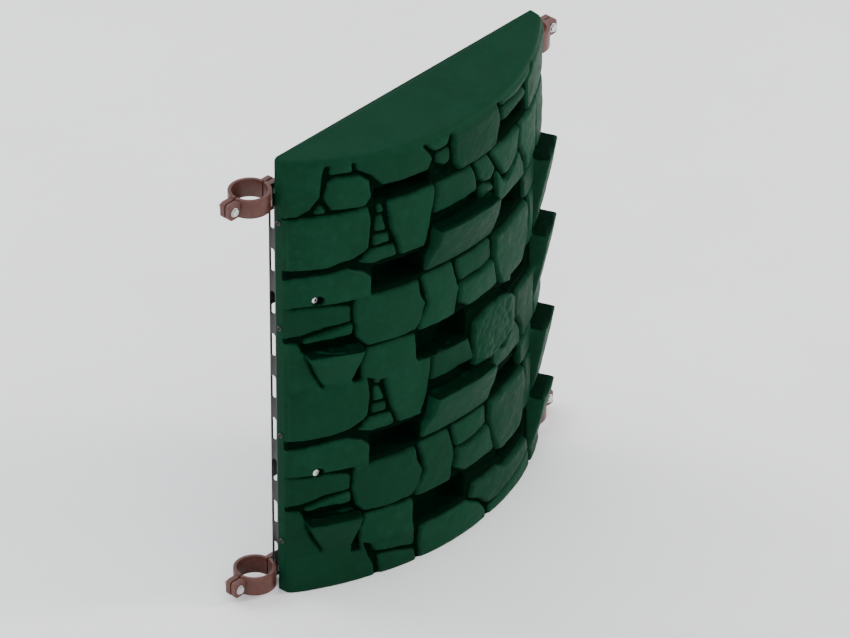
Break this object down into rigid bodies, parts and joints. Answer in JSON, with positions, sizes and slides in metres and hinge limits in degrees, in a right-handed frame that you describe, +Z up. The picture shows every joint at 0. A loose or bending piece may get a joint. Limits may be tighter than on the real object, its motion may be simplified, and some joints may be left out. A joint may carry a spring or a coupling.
{
  "type": "rock climbing wall",
  "caption": "Curved climbing wall for a playground deck, moulded as stacked stones with hand and foot pockets, clamped between two round posts.",
  "frame": {"origin": "middle of the bounding box, on the ground", "axes": "+Z up; the climber stands on the -Y side and the deck is on the +Y side; X runs from the left post to the right post as the climber sees them"},
  "size_m": [1.162, 0.3318, 1.265],
  "materials": {
    "green_plastic": "moulded polyethylene, satin with a fine grain",
    "brown_coat": "reddish brown powder coat",
    "black_steel": "black coated steel",
    "zinc_steel": "bright zinc plate"
  },
  "bodies": {
    "root": {"left_high_face_bolt": "zinc_steel", "left_high_face_nut": "black_steel", "left_high_spacer_sleeve": "black_steel", "left_low_face_bolt": "zinc_steel", "left_low_face_nut": "black_steel", "left_low_spacer_sleeve": "black_steel", "left_lower_clamp_back": "brown_coat", "left_lower_clamp_front": "brown_coat", "left_lower_clamp_inner_bolt": "zinc_steel", "left_lower_clamp_inner_nut": "zinc_steel", "left_lower_clamp_outer_bolt": "zinc_steel", "left_lower_clamp_outer_nut": "zinc_steel", "left_side_angle": "black_steel", "left_side_bolt_1": "black_steel", "left_side_bolt_2": "black_steel", "left_side_bolt_3": "black_steel", "left_side_bolt_4": "black_steel", "left_side_nut_1": "black_steel", "left_side_nut_2": "black_steel", "left_side_nut_3": "black_steel", "left_side_nut_4": "black_steel", "left_upper_clamp_back": "brown_coat", "left_upper_clamp_front": "brown_coat", "left_upper_clamp_inner_bolt": "zinc_steel", "left_upper_clamp_inner_nut": "zinc_steel", "left_upper_clamp_outer_bolt": "zinc_steel", "left_upper_clamp_outer_nut": "zinc_steel", "right_high_face_bolt": "zinc_steel", "right_high_face_nut": "black_steel", "right_high_spacer_sleeve": "black_steel", "right_low_face_bolt": "zinc_steel", "right_low_face_nut": "black_steel", "right_low_spacer_sleeve": "black_steel", "right_lower_clamp_back": "brown_coat", "right_lower_clamp_front": "brown_coat", "right_lower_clamp_inner_bolt": "zinc_steel", "right_lower_clamp_inner_nut": "zinc_steel", "right_lower_clamp_outer_bolt": "zinc_steel", "right_lower_clamp_outer_nut": "zinc_steel", "right_side_angle": "black_steel", "right_side_bolt_1": "black_steel", "right_side_bolt_2": "black_steel", "right_side_bolt_3": "black_steel", "right_side_bolt_4": "black_steel", "right_side_nut_1": "black_steel", "right_side_nut_2": "black_steel", "right_side_nut_3": "black_steel", "right_side_nut_4": "black_steel", "right_upper_clamp_back": "brown_coat", "right_upper_clamp_front": "brown_coat", "right_upper_clamp_inner_bolt": "zinc_steel", "right_upper_clamp_inner_nut": "zinc_steel", "right_upper_clamp_outer_bolt": "zinc_steel", "right_upper_clamp_outer_nut": "zinc_steel", "wall_shell": "green_plastic"}
  },
  "joints": []
}
